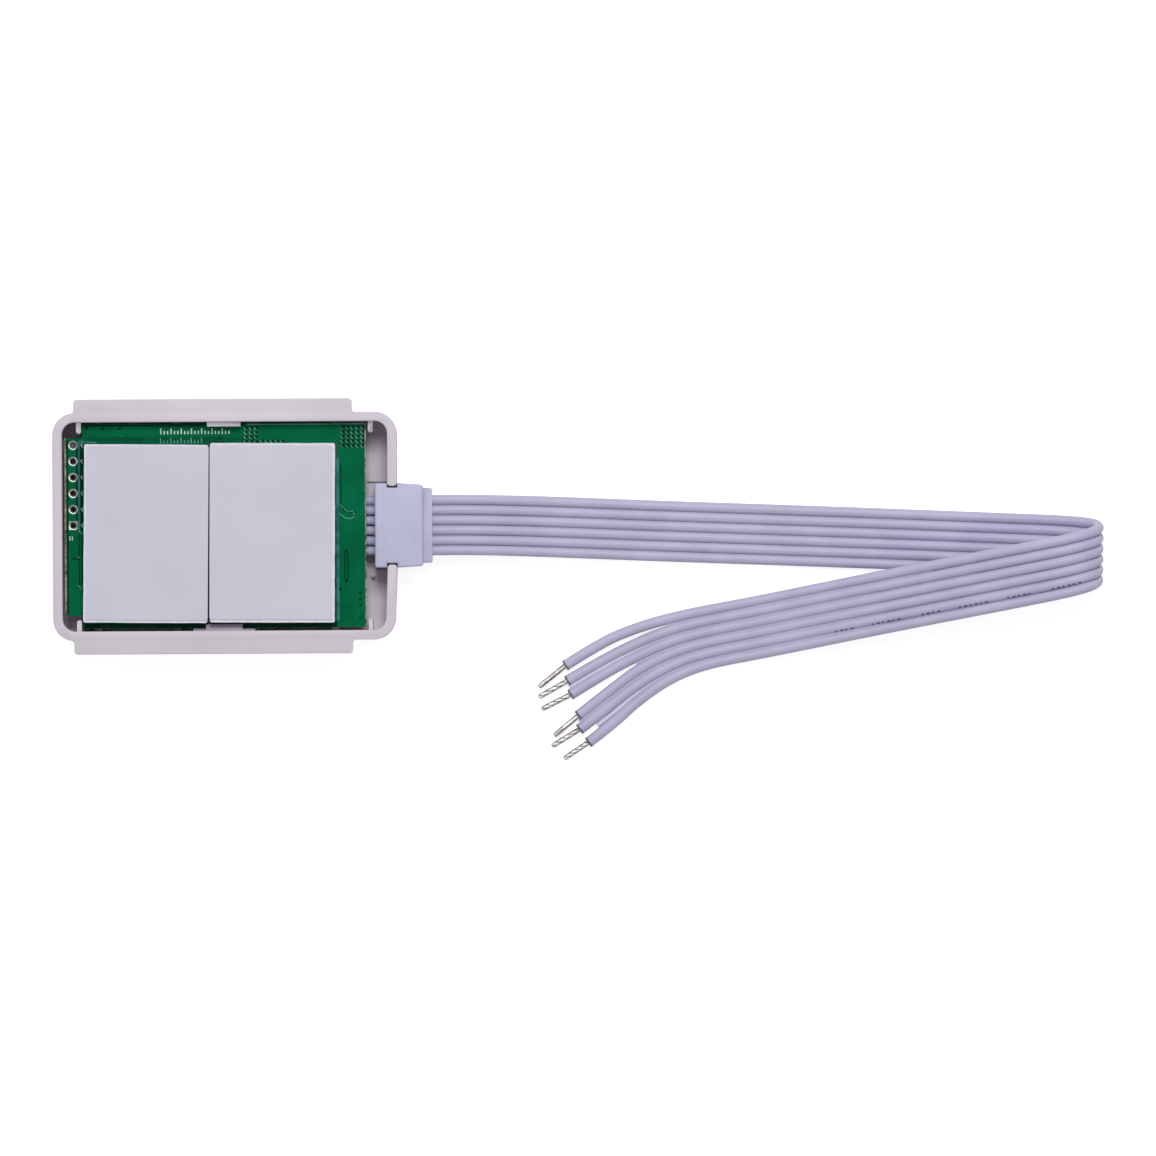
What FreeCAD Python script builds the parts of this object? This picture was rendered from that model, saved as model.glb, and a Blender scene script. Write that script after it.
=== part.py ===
import FreeCAD
import Part
import math
import os

from FreeCAD import Vector

# Two-key touch switch that sticks behind a mirror: an open moulded tray with a circuit
# board, two foam pads on the sensing side and a six-wire ribbon lead.
# Millimetres. +X points along the tray to the cable exit, +Z out of its open front, and
# the origin is the middle of the tray's back face.

# Tray: outside length, width and height, walls, and the flanges flush with its rim
case_length = 54.5
case_width = 36.1
case_height = 9.0
wall = 1.5
floor_thickness = 1.5
corner_radius = 3.5
back_edge_bevel = 0.6
flange_length = 44.1
flange_reach = 2.15
flange_thickness = 1.6
flange_shift = -1.85
flange_corner_radius = 0.6

# Circuit board, its gaps to the walls and the bay for the cable beside it
board_thickness = 1.6
board_left_gap = 0.55
board_side_gap = 0.3
cable_bay = 3.4
notch_length = 2.6
notch_end_gap = 0.7

# Header holes along the left edge of the board, down from its upper notch
header_count = 6
header_pitch = 2.54
header_radius = 0.5
header_inset = 1.16
header_notch_gap = 1.09

# Ledges that carry the board, ribs that locate it, hooks that hold it down
ledge_count = 4
ledge_width = 1.2
ledge_overlap = 1.3
ledge_inset = 5.0
rib_thickness = 0.75
rib_length = 1.8
rib_below_rim = 0.3
rib_left_gap = 0.12
rib_right_gap = 0.38
hook_gap = 0.05
hook_tip = 0.5
hook_below_rim = 0.35
upper_hook_width = 5.3
upper_hook_shift = -0.09
upper_hook_reach = 0.73
lower_hook_width = 5.8
lower_hook_shift = -0.19
lower_hook_reach = 1.05
lower_hook_base_width = 9.8
lower_hook_base_reach = 0.4

# Foam pads and their release liners, the gap between the pads, and the board that the
# pair leaves bare on each side
pad_gap = 0.35
pad_left_margin = 2.75
pad_right_margin = 4.9
pad_upper_margin = 3.05
pad_lower_margin = 1.05
pad_thickness = 2.9
pad_above_rim = 0.7
pad_corner_radius = 0.35
left_pad_turn = -0.65
right_pad_turn = -0.4
liner_thickness = 0.15

# Wires of the ribbon lead, the gap between two of them and the one below the board
wire_diameter = 1.56
wire_gap = 0.04
wire_count = 6
wire_sides = 8
lead_board_gap = 0.07
strand_diameter = 0.76

# Strain relief clipped into a slot of the right wall
slot_gap = 0.22
slot_floor = 2.4
slot_edge_radius = 0.5
groove_gap = 0.04
relief_neck_margin = 1.22
relief_flange_margin = 0.7
relief_collar_margin = 1.17
relief_flange_length = 1.95
relief_block_length = 4.05
relief_block_taper = 0.25
relief_block_radius = 0.5
relief_collar_length = 1.5
relief_collar_wall = 0.9
relief_below_rim = 0.3
pocket_depth = 0.5
pocket_side_gap = 0.3
pocket_inner_gap = 1.3
passage_gap = 0.05
nub_radius = 0.4
nub_side_gap = 0.4
nub_height = 1.0

# Solder joints of the wires under the board
lead_overlap = 1.85
joint_length = 2.4
joint_width = 1.2
joint_taper = 0.25

# Electronics on the underside of the board: sizes are length, width and height, and an
# inset is the distance of a package's middle from an edge of the board
controller_size = (9.9, 3.9, 1.45)
controller_left_inset = 16.6
controller_span = 6.0
controller_pitch = 1.27
pins_per_side = 8
transistor_size = (6.5, 3.5, 1.6)
transistor_tab_width = 3.0
transistor_lead_width = 0.7
transistor_lead_pitch = 2.3
transistor_lead_count = 3
transistor_reach = 1.75
transistor_edge_gap = 0.25
transistor_ledge_gap = 0.3
transistor_spacing = 14.2
regulator_size = (4.5, 2.5, 1.5)
regulator_right_inset = 13.35
regulator_lower_inset = 6.75
regulator_lead_pitch = 1.5
regulator_lead_count = 3
regulator_reach = 0.9
diode_size = (4.3, 2.6, 2.1)
diode_right_inset = 5.15
diode_lead_width = 1.4
diode_reach = 0.45
large_chip = (3.2, 2.5, 1.8)
small_chip = (2.0, 1.25, 0.9)
resistor_chip = (2.0, 1.25, 0.55)
chip_end = 0.4
chip_gap = 0.9
sensor_chip_left_inset = 6.6
sensor_chip_y = 4.2
pull_up_chip_y = 2.2
body_standoff = 0.12
sheet_metal = 0.2
body_draft = 0.15

# The foam stands proud of the rim, so its thickness sets how deep the board sits, and
# the wires pass just below the board
pad_top = case_height + pad_above_rim
board_top = pad_top - pad_thickness
board_height = board_top - board_thickness
wire_height = board_height - lead_board_gap - wire_diameter / 2

# Middle line of the ribbon, from the strain relief to where the wires part. Each row is
# x, y, z, the lean in x, per millimetre of y, of the line that crosses the ribbon, and how
# far the wires spread there, as a share of their pitch.
ribbon_route = [
    (38.4, 0.0, wire_height, 0.0, 1.0),
    (50.6, -0.42, 1.55, -0.04, 1.0),
    (68.2, -1.1, 0.86, -0.04, 1.0),
    (97.6, -2.24, 0.80, -0.041, 1.0),
    (121.4, -3.3, 0.80, -0.045, 1.0),
    (136.5, -4.05, 0.80, -0.03, 1.02),
    (139.2, -5.15, 6.35, -0.02, 1.045),
    (135.7, -6.6, 11.2, 0.02, 1.045),
    (124.0, -8.88, 8.55, 0.13, 1.045),
    (104.2, -12.6, 4.45, 0.19, 1.045),
    (84.4, -16.56, 1.3, 0.2, 1.045),
]

# Where each wire goes once it has parted from the others, on to the end of its jacket
tail_routes = [
    [(74.6, -14.04), (68.3, -15.63), (62.2, -17.15), (54.2, -22.23)],
    [(74.5, -15.71), (68.2, -17.62), (62.2, -19.96), (54.6, -24.89)],
    [(74.6, -17.47), (68.1, -19.46), (62.3, -22.46), (54.9, -26.85)],
    [(74.5, -19.19), (68.1, -21.46), (62.3, -25.15), (56.1, -30.24)],
    [(74.6, -20.9), (68.1, -23.44), (62.4, -27.78), (56.2, -32.5)],
    [(74.5, -22.62), (68.1, -25.75), (62.4, -30.72), (57.8, -34.62)],
]
tail_height = 0.8
strand_lengths = [5.8, 5.5, 5.3, 5.2, 5.4, 5.0]
arc_share = 0.45


def box(x0, x1, y0, y1, z0, z1):
    return Part.makeBox(x1 - x0, y1 - y0, z1 - z0, Vector(x0, y0, z0))


def prism(outline, direction):
    """Solid made by pushing a closed outline of points along a direction."""
    wire = Part.makePolygon(outline + [outline[0]])
    return Part.Face(wire).extrude(direction)


def fillet_upright(shape, radius, chosen):
    """Round the edges parallel to Z whose middle passes the test."""
    edges = [
        edge
        for edge in shape.Edges
        if abs(edge.Vertexes[0].X - edge.Vertexes[-1].X) < 1e-6
        and abs(edge.Vertexes[0].Y - edge.Vertexes[-1].Y) < 1e-6
        and edge.Length > 1e-6
        and chosen(edge.CenterOfMass)
    ]
    return shape.makeFillet(radius, edges)


def rounded_block(x0, x1, y0, y1, z0, z1, radius):
    return fillet_upright(box(x0, x1, y0, y1, z0, z1), radius, lambda middle: True)


# Places that follow from the sizes above
half_length = case_length / 2
half_width = case_width / 2
inner_x = half_length - wall
inner_y = half_width - wall
board_left = -inner_x + board_left_gap
board_right = inner_x - cable_bay
board_side = inner_y - board_side_gap
notch_right = board_left + notch_length
notch_y = inner_y - rib_length - notch_end_gap
header_x = board_left + header_inset
header_top_y = notch_y - header_notch_gap
pad_length = (board_right - board_left - pad_left_margin - pad_right_margin - pad_gap) / 2
pad_width = 2 * board_side - pad_upper_margin - pad_lower_margin
pad_left_x = board_left + pad_left_margin + pad_length / 2
pad_right_x = board_right - pad_right_margin - pad_length / 2
pad_y = (pad_lower_margin - pad_upper_margin) / 2
wire_pitch = wire_diameter + wire_gap
ribbon_half = wire_pitch * (wire_count - 1) / 2 + wire_diameter / 2
neck_half = ribbon_half + relief_neck_margin
slot_half = neck_half + slot_gap
flange_half = neck_half + relief_flange_margin
collar_half = ribbon_half + relief_collar_margin
relief_inner = inner_x - groove_gap - relief_flange_length
relief_outer = half_length + groove_gap
relief_shoulder = relief_outer + relief_block_length
relief_end = relief_shoulder + relief_collar_length
relief_top = case_height - relief_below_rim
pocket_floor = floor_thickness - pocket_depth
pocket_half = flange_half + pocket_side_gap
lead_end = board_right - lead_overlap
ledge_tip = board_side - ledge_overlap
transistor_x = board_right - transistor_edge_gap - transistor_size[0] / 2
transistor_y = ledge_tip - transistor_ledge_gap - transistor_reach - transistor_size[1] / 2
controller_x = board_left + controller_left_inset
regulator_x = board_right - regulator_right_inset
regulator_y = regulator_lower_inset - board_side
diode_x = board_right - diode_right_inset
gate_chip_shift = transistor_size[0] / 2 + chip_gap + resistor_chip[0] / 2
gate_chip_y = transistor_y - transistor_size[1] / 2 - resistor_chip[1] / 2


def tray_shell():
    """Open box with rounded corners, a bevelled back edge and flanges along its rim."""
    outside = rounded_block(
        -half_length, half_length, -half_width, half_width, 0, case_height, corner_radius
    )
    back_edges = [edge for edge in outside.Edges if edge.BoundBox.ZMax < 1e-6]
    shell = outside.makeChamfer(back_edge_bevel, back_edges)
    for side in (-1, 1):
        root = side * (half_width - wall / 2)
        tip = side * (half_width + flange_reach)
        flange = box(
            flange_shift - flange_length / 2,
            flange_shift + flange_length / 2,
            min(root, tip),
            max(root, tip),
            case_height - flange_thickness,
            case_height,
        )
        flange = fillet_upright(
            flange, flange_corner_radius, lambda middle: abs(middle.y) > half_width
        )
        shell = shell.fuse(flange)
    cavity = rounded_block(
        -inner_x,
        inner_x,
        -inner_y,
        inner_y,
        floor_thickness,
        case_height + wall,
        corner_radius - wall,
    )
    return shell.cut(cavity)


def cut_cable_slot(tray):
    """Slot for the strain relief, open at the rim, and the pocket for its inner flange."""
    slot = box(
        inner_x - wall,
        half_length + wall,
        -slot_half,
        slot_half,
        slot_floor,
        case_height + wall,
    )
    tray = tray.cut(slot)
    tray = fillet_upright(
        tray,
        slot_edge_radius,
        lambda middle: middle.x > inner_x - 1e-3 and abs(abs(middle.y) - slot_half) < 1e-3,
    )
    pocket = box(
        relief_inner - pocket_inner_gap,
        inner_x,
        -pocket_half,
        pocket_half,
        pocket_floor,
        floor_thickness + wall,
    )
    return tray.cut(pocket)


def board_ledges():
    """Ledges on both long walls that the board rests on."""
    ledges = []
    first = board_left + ledge_inset
    step = (board_right - ledge_inset - first) / (ledge_count - 1)
    for index in range(ledge_count):
        middle = first + index * step
        for side in (-1, 1):
            root = side * (inner_y + wall / 2)
            tip = side * ledge_tip
            ledges.append(
                box(
                    middle - ledge_width / 2,
                    middle + ledge_width / 2,
                    min(root, tip),
                    max(root, tip),
                    floor_thickness / 2,
                    board_height,
                )
            )
    return ledges


def locating_ribs():
    """Ribs with round noses: two in the board's notches and two past its right edge."""
    ribs = []
    left_middle = notch_right - rib_left_gap - rib_thickness / 2
    right_middle = board_right + rib_right_gap + rib_thickness / 2
    for middle in (left_middle, right_middle):
        for side in (-1, 1):
            root = side * (inner_y + wall / 2)
            nose = side * (inner_y - rib_length + rib_thickness / 2)
            top = case_height - rib_below_rim
            low = floor_thickness / 2
            web = box(
                middle - rib_thickness / 2,
                middle + rib_thickness / 2,
                min(root, nose),
                max(root, nose),
                low,
                top,
            )
            nose_round = Part.makeCylinder(rib_thickness / 2, top - low, Vector(middle, nose, low))
            ribs.append(web.fuse(nose_round))
    return ribs


def hook(side, middle, width, reach):
    """Snap hook on a long wall: flat below, where it holds the board, and sloped above."""
    start = middle - width / 2
    under = board_top + hook_gap
    top = case_height - hook_below_rim
    root = inner_y + wall / 2
    outline = [
        Vector(start, side * root, under),
        Vector(start, side * (inner_y - reach), under),
        Vector(start, side * (inner_y - reach), under + hook_tip),
        Vector(start, side * inner_y, top),
        Vector(start, side * root, top),
    ]
    return prism(outline, Vector(width, 0, 0))


def housing_tray():
    tray = cut_cable_slot(tray_shell())
    hooks = [
        hook(1, upper_hook_shift, upper_hook_width, upper_hook_reach),
        hook(-1, lower_hook_shift, lower_hook_width, lower_hook_reach),
        hook(-1, lower_hook_shift, lower_hook_base_width, lower_hook_base_reach),
    ]
    nub = Part.makeCylinder(
        nub_radius,
        nub_height + floor_thickness / 2,
        Vector(
            relief_inner - nub_radius,
            -pocket_half - nub_side_gap - nub_radius,
            floor_thickness / 2,
        ),
    )
    return tray.fuse(board_ledges() + locating_ribs() + hooks + [nub]).removeSplitter()


def circuit_board():
    """Board with a notch at each left corner and a row of header holes beside them."""
    board = box(board_left, board_right, -board_side, board_side, board_height, board_top)
    for side in (-1, 1):
        low = min(side * notch_y, side * half_width)
        high = max(side * notch_y, side * half_width)
        notch = box(board_left - wall, notch_right, low, high, 0, case_height)
        board = board.cut(notch)
    for index in range(header_count):
        place = Vector(header_x, header_top_y - index * header_pitch, 0)
        board = board.cut(Part.makeCylinder(header_radius, case_height, place))
    return board


def pad_layer(middle, turn, low, thickness):
    """One layer of a pad, turned about its middle as it was stuck on."""
    layer = rounded_block(
        -pad_length / 2,
        pad_length / 2,
        -pad_width / 2,
        pad_width / 2,
        low,
        low + thickness,
        pad_corner_radius,
    )
    layer.rotate(Vector(0, 0, 0), Vector(0, 0, 1), turn)
    layer.translate(Vector(middle, pad_y, 0))
    return layer


def strain_relief():
    """Moulded grommet: inner flange, neck in the slot, tapered outer block and collar."""
    inner = box(
        relief_inner, inner_x - groove_gap, -flange_half, flange_half, pocket_floor, relief_top
    )
    neck = box(
        relief_inner + wall / 2,
        relief_outer + wall / 2,
        -neck_half,
        neck_half,
        slot_floor,
        relief_top,
    )
    outer_half = flange_half - relief_block_taper
    block = prism(
        [
            Vector(relief_outer, -flange_half, pocket_floor),
            Vector(relief_shoulder, -outer_half, pocket_floor),
            Vector(relief_shoulder, outer_half, pocket_floor),
            Vector(relief_outer, flange_half, pocket_floor),
        ],
        Vector(0, 0, relief_top - pocket_floor),
    )
    block = fillet_upright(
        block, relief_block_radius, lambda middle: middle.x > relief_shoulder - 1e-3
    )
    collar_rise = wire_diameter / 2 + relief_collar_wall
    collar = box(
        relief_shoulder - wall,
        relief_end,
        -collar_half,
        collar_half,
        wire_height - collar_rise,
        wire_height + collar_rise,
    )
    grommet = inner.fuse([neck, block, collar]).removeSplitter()
    return grommet.cut(cable_passage())


def cable_passage():
    """Flat round-ended hole through the strain relief, a running gap wider than the ribbon."""
    radius = wire_diameter / 2 + passage_gap
    outer_lane = wire_pitch * (wire_count - 1) / 2
    start = relief_inner - wall
    length = relief_end + wall - start
    middle = box(
        start, start + length, -outer_lane, outer_lane, wire_height - radius, wire_height + radius
    )
    ends = [
        Part.makeCylinder(radius, length, Vector(start, side * outer_lane, wire_height), Vector(1, 0, 0))
        for side in (-1, 1)
    ]
    return middle.fuse(ends).removeSplitter()


def lane_offset(index):
    """Distance of a wire from the ribbon's middle line, positive towards -Y."""
    return (index - (wire_count - 1) / 2) * wire_pitch


def wire_route(index):
    """Points of one wire, from the strain relief to the end of its jacket."""
    offset = lane_offset(index)
    points = [Vector(relief_end, -offset, wire_height)]
    for x, y, z, lean, spread in ribbon_route:
        across = Vector(lean, -1, 0).normalize()
        points.append(Vector(x, y, z) + across * (offset * spread))
    points += [Vector(x, y, tail_height) for x, y in tail_routes[index]]
    return points


def bent_path(points):
    """Straight runs joined by tangent arcs, each as large as its two runs allow."""
    edges = []
    radii = []
    start = points[0]
    for before, corner, after in zip(points, points[1:], points[2:]):
        back = (before - corner).normalize()
        ahead = (after - corner).normalize()
        half_turn = (math.pi - back.getAngle(ahead)) / 2
        cut = arc_share * min((before - corner).Length, (after - corner).Length)
        radius = cut / math.tan(half_turn)
        radii.append(radius)
        inward = (back + ahead).normalize()
        centre = corner + inward * (radius / math.cos(half_turn))
        enter = corner + back * cut
        leave = corner + ahead * cut
        edges.append(Part.LineSegment(start, enter).toShape())
        edges.append(Part.Arc(enter, centre - inward * radius, leave).toShape())
        start = leave
    edges.append(Part.LineSegment(start, points[-1]).toShape())
    return Part.Wire(edges), radii


def wire_section(place, heading):
    """Face across a wire: a polygon with its corners on the wire's circle."""
    corners = []
    for index in range(wire_sides):
        angle = 2 * math.pi * (index + 0.5) / wire_sides
        corners.append(Vector(0, math.cos(angle), math.sin(angle)) * (wire_diameter / 2))
    face = Part.Face(Part.makePolygon(corners + [corners[0]]))
    face.Placement = FreeCAD.Placement(place, FreeCAD.Rotation(Vector(1, 0, 0), heading))
    return face


def wire_jacket(index):
    """Insulated wire along its route, with a printed check of its bends and volume."""
    points = wire_route(index)
    path, radii = bent_path(points)
    section = wire_section(points[0], points[1] - points[0])
    tube = path.makePipe(section)
    share = tube.Volume / (section.Area * path.Length)
    print(f"wire {index + 1}: length {path.Length:.1f}, volume over section times length {share:.4f}")
    print("  radii", [round(radius, 1) for radius in radii])
    return tube


def tinned_end(index):
    """Bare twisted and tinned strands, straight on from the end of the jacket."""
    points = wire_route(index)
    heading = (points[-1] - points[-2]).normalize()
    return Part.makeCylinder(strand_diameter / 2, strand_lengths[index], points[-1], heading)


def inner_lead(index):
    """Insulated wire from the far side of the strain relief to its solder joint."""
    start = Vector(lead_end, -lane_offset(index), wire_height)
    return wire_section(start, Vector(1, 0, 0)).extrude(Vector(relief_end - lead_end, 0, 0))


def solder_joint(index):
    """Soldered strands under the board: a mound that narrows away from its pad."""
    middle = -lane_offset(index)
    sections = []
    for inset, height in ((0, board_height), (joint_taper, wire_height - strand_diameter / 2)):
        half = joint_width / 2 - inset
        corners = [
            Vector(lead_end - joint_length + inset, middle - half, height),
            Vector(lead_end, middle - half, height),
            Vector(lead_end, middle + half, height),
            Vector(lead_end - joint_length + inset, middle + half, height),
        ]
        sections.append(Part.makePolygon(corners + [corners[0]]))
    return Part.makeLoft(sections, True, True)


def hexagonal_body(x, y, size):
    """Moulded package under the board, widest at half its height."""
    length, width, height = size
    top = board_height - body_standoff
    half = width / 2
    outline = [
        Vector(x - length / 2, y - half + body_draft, top),
        Vector(x - length / 2, y - half, top - height / 2),
        Vector(x - length / 2, y - half + body_draft, top - height),
        Vector(x - length / 2, y + half - body_draft, top - height),
        Vector(x - length / 2, y + half, top - height / 2),
        Vector(x - length / 2, y + half - body_draft, top),
    ]
    return prism(outline, Vector(length, 0, 0))


def gull_wing(x, y, side, body_height, width, reach, metal):
    """Bent lead from half the height of a package at y to the underside of the board."""
    level = board_height - body_standoff - body_height / 2
    leg = y + side * reach / 2
    foot = y + side * reach
    outline = [
        Vector(x - width / 2, y, level - metal / 2),
        Vector(x - width / 2, leg + side * metal / 2, level - metal / 2),
        Vector(x - width / 2, leg + side * metal / 2, board_height - metal),
        Vector(x - width / 2, foot, board_height - metal),
        Vector(x - width / 2, foot, board_height),
        Vector(x - width / 2, leg - side * metal / 2, board_height),
        Vector(x - width / 2, leg - side * metal / 2, level + metal / 2),
        Vector(x - width / 2, y, level + metal / 2),
    ]
    return prism(outline, Vector(width, 0, 0))


def lead_row(x, y, side, body_height, count, pitch, width, reach):
    """Evenly spaced bent leads along one side of a package."""
    row = []
    for index in range(count):
        place = x + (index - (count - 1) / 2) * pitch
        row.append(gull_wing(place, y, side, body_height, width, reach, sheet_metal))
    return row


def touch_controller():
    return hexagonal_body(controller_x, 0, controller_size)


def touch_controller_pins():
    _, width, height = controller_size
    reach = (controller_span - width) / 2
    pins = []
    for side in (-1, 1):
        pins += lead_row(
            controller_x,
            side * width / 2,
            side,
            height,
            pins_per_side,
            controller_pitch,
            2 * sheet_metal,
            reach,
        )
    return Part.makeCompound(pins)


def power_transistor(x):
    return hexagonal_body(x, transistor_y, transistor_size)


def power_transistor_frame(x):
    """Three leads on one side and the wide heat tab on the other."""
    _, width, height = transistor_size
    leads = lead_row(
        x,
        transistor_y - width / 2,
        -1,
        height,
        transistor_lead_count,
        transistor_lead_pitch,
        transistor_lead_width,
        transistor_reach,
    )
    tab = lead_row(
        x, transistor_y + width / 2, 1, height, 1, 0, transistor_tab_width, transistor_reach
    )
    return Part.makeCompound(leads + tab)


def voltage_regulator():
    return hexagonal_body(regulator_x, regulator_y, regulator_size)


def voltage_regulator_leads():
    _, width, height = regulator_size
    leads = lead_row(
        regulator_x,
        regulator_y - width / 2,
        -1,
        height,
        regulator_lead_count,
        regulator_lead_pitch,
        2 * sheet_metal,
        regulator_reach,
    )
    return Part.makeCompound(leads)


def input_diode():
    return hexagonal_body(diode_x, regulator_y, diode_size)


def input_diode_leads():
    """Strips that leave both ends of the diode and fold down to the board."""
    length, _, height = diode_size
    level = board_height - body_standoff - height / 2
    y = regulator_y - diode_lead_width / 2
    strips = []
    for side in (-1, 1):
        end = diode_x + side * length / 2
        fold = end + side * diode_reach
        inside = fold - side * sheet_metal
        outline = [
            Vector(end, y, level - sheet_metal / 2),
            Vector(fold, y, level - sheet_metal / 2),
            Vector(fold, y, board_height),
            Vector(inside, y, board_height),
            Vector(inside, y, level + sheet_metal / 2),
            Vector(end, y, level + sheet_metal / 2),
        ]
        strips.append(prism(outline, Vector(0, diode_lead_width, 0)))
    return Part.makeCompound(strips)


# Ceramic chips under the board: name, size, and place of the middle
input_chip_x = regulator_x - regulator_size[0] / 2 - chip_gap - large_chip[0] / 2
output_chip_y = (
    regulator_y - regulator_size[1] / 2 - regulator_reach - chip_gap - small_chip[1] / 2
)
pull_up_chip_x = controller_x + controller_size[0] / 2 + chip_gap + resistor_chip[0] / 2
sensor_chip_x = board_left + sensor_chip_left_inset
chips = [
    ("input_capacitor", large_chip, (input_chip_x, regulator_y)),
    ("output_capacitor", small_chip, (regulator_x, output_chip_y)),
    ("sensor_capacitor_left", small_chip, (sensor_chip_x, sensor_chip_y)),
    ("sensor_capacitor_right", small_chip, (sensor_chip_x, -sensor_chip_y)),
    ("gate_resistor_1", resistor_chip, (transistor_x - gate_chip_shift, gate_chip_y)),
    (
        "gate_resistor_2",
        resistor_chip,
        (transistor_x - transistor_spacing - gate_chip_shift, gate_chip_y),
    ),
    ("pull_up_resistor_1", resistor_chip, (pull_up_chip_x, pull_up_chip_y)),
    ("pull_up_resistor_2", resistor_chip, (pull_up_chip_x, -pull_up_chip_y)),
]


def chip_body(size, place):
    length, width, height = size
    x, y = place
    half = length / 2 - chip_end
    return box(x - half, x + half, y - width / 2, y + width / 2, board_height - height, board_height)


def chip_ends(size, place):
    length, width, height = size
    x, y = place
    ends = []
    for side in (-1, 1):
        near = x + side * (length / 2 - chip_end)
        far = x + side * length / 2
        ends.append(
            box(
                min(near, far),
                max(near, far),
                y - width / 2,
                y + width / 2,
                board_height - height,
                board_height,
            )
        )
    return ends


def build():
    parts = {
        "housing_tray": housing_tray(),
        "circuit_board": circuit_board(),
        "foam_pad_left": pad_layer(pad_left_x, left_pad_turn, board_top, pad_thickness),
        "foam_pad_right": pad_layer(pad_right_x, right_pad_turn, board_top, pad_thickness),
        "liner_left": pad_layer(pad_left_x, left_pad_turn, pad_top, liner_thickness),
        "liner_right": pad_layer(pad_right_x, right_pad_turn, pad_top, liner_thickness),
        "strain_relief": strain_relief(),
        "touch_controller": touch_controller(),
        "touch_controller_pins": touch_controller_pins(),
        "voltage_regulator": voltage_regulator(),
        "voltage_regulator_leads": voltage_regulator_leads(),
        "input_diode": input_diode(),
        "input_diode_leads": input_diode_leads(),
    }
    for index in range(2):
        x = transistor_x - index * transistor_spacing
        parts[f"power_transistor_{index + 1}"] = power_transistor(x)
        parts[f"power_transistor_{index + 1}_frame"] = power_transistor_frame(x)
    ends = []
    for name, size, place in chips:
        parts[name] = chip_body(size, place)
        ends += chip_ends(size, place)
    parts["chip_end_caps"] = Part.makeCompound(ends)
    for index in range(wire_count):
        parts[f"wire_{index + 1}"] = wire_jacket(index)
        parts[f"tinned_end_{index + 1}"] = tinned_end(index)
        parts[f"inner_lead_{index + 1}"] = inner_lead(index)
        parts[f"solder_joint_{index + 1}"] = solder_joint(index)
    return parts


os.makedirs("parts", exist_ok=True)
for name, shape in build().items():
    print(name, "valid", shape.isValid(), "solids", len(shape.Solids), "volume", round(shape.Volume, 2))
    shape.exportStep(f"parts/{name}.step")
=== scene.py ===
# %% [markdown]
# # A two-key mirror touch switch
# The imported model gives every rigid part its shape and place. This script gives those
# parts their finishes and adds what a construction model leaves out: round wires, twisted
# tinned ends, plated holes, tracks and print on the board, foam cells and soft moulded
# edges. Sizes are written in millimetres, and multiplying by mm turns them into metres.

import bmesh
import bpy
import math
from mathutils import Matrix, Vector, noise


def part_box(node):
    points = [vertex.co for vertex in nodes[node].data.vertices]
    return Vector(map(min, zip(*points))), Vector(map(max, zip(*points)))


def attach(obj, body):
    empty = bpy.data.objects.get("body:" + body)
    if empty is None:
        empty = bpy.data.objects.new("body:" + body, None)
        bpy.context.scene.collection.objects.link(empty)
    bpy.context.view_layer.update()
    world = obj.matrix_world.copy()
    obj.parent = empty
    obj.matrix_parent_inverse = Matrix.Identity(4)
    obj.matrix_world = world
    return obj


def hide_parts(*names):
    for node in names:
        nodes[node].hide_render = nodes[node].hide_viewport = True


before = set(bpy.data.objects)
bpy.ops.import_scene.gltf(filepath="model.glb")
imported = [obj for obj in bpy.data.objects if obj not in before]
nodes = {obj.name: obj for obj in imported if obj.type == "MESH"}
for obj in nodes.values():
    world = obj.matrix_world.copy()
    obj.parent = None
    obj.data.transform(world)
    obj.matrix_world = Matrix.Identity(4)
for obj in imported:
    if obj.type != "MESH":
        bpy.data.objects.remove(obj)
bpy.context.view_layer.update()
scene = bpy.context.scene
mm = 0.001

# %% [markdown]
# ## Camera
# The switch was photographed from straight above. A long lens far away keeps the lines of
# the tray straight and hardly shows its outer walls. The whole width of the picture spans
# 183.06 mm at the height of the tray's rim, and the object sits turned by a third of a
# degree, which the roll of the camera gives back.

# %% Camera straight above
view_width = 183.06 * mm
view_height = 2000 * mm
rim_height = 8 * mm
picture_x = 55.87 * mm
picture_y = -8.51 * mm
camera_roll = math.radians(-0.33)
camera_data = bpy.data.cameras.new("camera_above")
camera_data.sensor_width = 36
camera_data.lens = camera_data.sensor_width * view_height / view_width
camera = bpy.data.objects.new("camera_above", camera_data)
camera.location = (picture_x, picture_y, rim_height + view_height)
camera.rotation_euler = (0, 0, camera_roll)
scene.collection.objects.link(camera)
scene.camera = camera
scene.view_settings.view_transform = "Standard"
print("lens", round(camera_data.lens, 1), "mm")

# %% [markdown]
# ## Helpers for finishes
# A finish is a small tree of shader nodes. Colours are written with the values a screen
# shows and are made linear here, because shaders work with linear light. Each helper adds
# one effect to a finish: a mottled colour, an uneven shine or a fine grain. They all read
# Object coordinates, so a pattern stays fixed to its piece.

# %% Helpers that build a finish
def paint(red, green, blue):
    """Linear colour from the 0 to 255 values that a screen shows."""
    linear = []
    for value in (red, green, blue):
        share = value / 255
        low = share / 12.92
        high = ((share + 0.055) / 1.055) ** 2.4
        linear.append(low if share <= 0.04045 else high)
    return (*linear, 1.0)


def new_finish(name, colour, roughness, **settings):
    """Material with a Principled shader whose plain values sit on its own sockets."""
    finish = bpy.data.materials.new(name)
    finish.use_nodes = True
    shader = finish.node_tree.nodes["Principled BSDF"]
    shader.inputs["Base Color"].default_value = colour
    shader.inputs["Roughness"].default_value = roughness
    for socket, value in settings.items():
        shader.inputs[socket.replace("_", " ")].default_value = value
    return finish


def add_node(finish, kind, **settings):
    """New shader node; each keyword names one of its sockets."""
    node = finish.node_tree.nodes.new(kind)
    for socket, value in settings.items():
        node.inputs[socket.replace("_", " ")].default_value = value
    return node


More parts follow.
